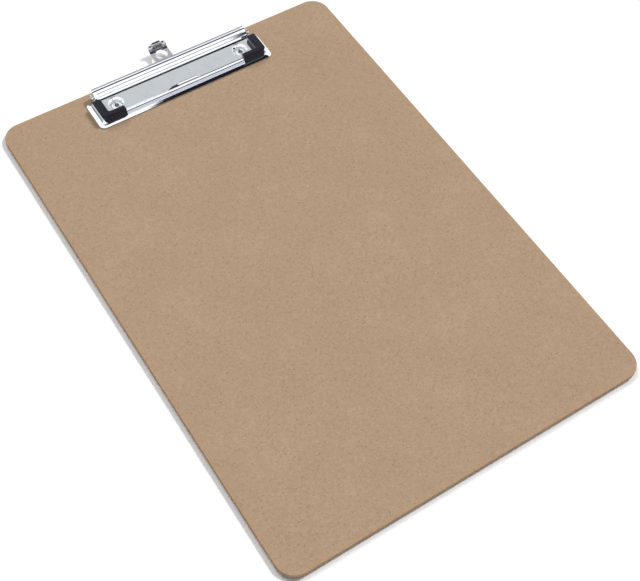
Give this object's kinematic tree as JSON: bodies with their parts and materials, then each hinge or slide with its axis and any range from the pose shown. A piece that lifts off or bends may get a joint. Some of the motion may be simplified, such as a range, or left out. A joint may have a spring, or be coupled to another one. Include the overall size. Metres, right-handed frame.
{
  "type": "clipboard",
  "caption": "Hardboard clipboard with a low sprung steel clip, rubber-capped jaw corners and a pull-out hanging tongue.",
  "frame": {"origin": "centre of the board's underside", "axes": "+X to the right across the board, +Y along the board towards the clip, +Z out of the writing face"},
  "size_m": [0.235, 0.3544, 0.0101],
  "materials": {
    "hardboard": "smooth pressed wood fibre, light sheen, raw edges",
    "plated_sheet": "bright nickel plating",
    "rivet_metal": "bright nickel plating",
    "pin_steel": "drawn steel",
    "spring_steel": "drawn spring wire",
    "chrome_sheet": "bright plating with fine handling marks",
    "grip_rubber": "satin moulded rubber",
    "hanger_metal": "bright nickel plating"
  },
  "bodies": {
    "board": {"board": "hardboard", "base_plate": "plated_sheet", "rivet_left": "rivet_metal", "rivet_right": "rivet_metal", "hinge_pin": "pin_steel", "spring_left": "spring_steel", "spring_right": "spring_steel"},
    "jaw": {"jaw_plate": "chrome_sheet", "grip_left": "grip_rubber", "grip_right": "grip_rubber"},
    "hanger": {"hanger": "hanger_metal"}
  },
  "joints": [
    {"name": "jaw_hinge", "type": "hinge", "parent": "board", "child": "jaw", "pos_m": [0, 0.1628, 0.0057], "axis": [-1, 0, 0], "range_deg": [0, 28], "stiffness_Nm_per_rad": 0.25, "springref_deg": -45.84},
    {"name": "hanger_slide", "type": "slide", "parent": "board", "child": "hanger", "axis": [0, -1, 0], "range_m": [0, 0.012]}
  ]
}
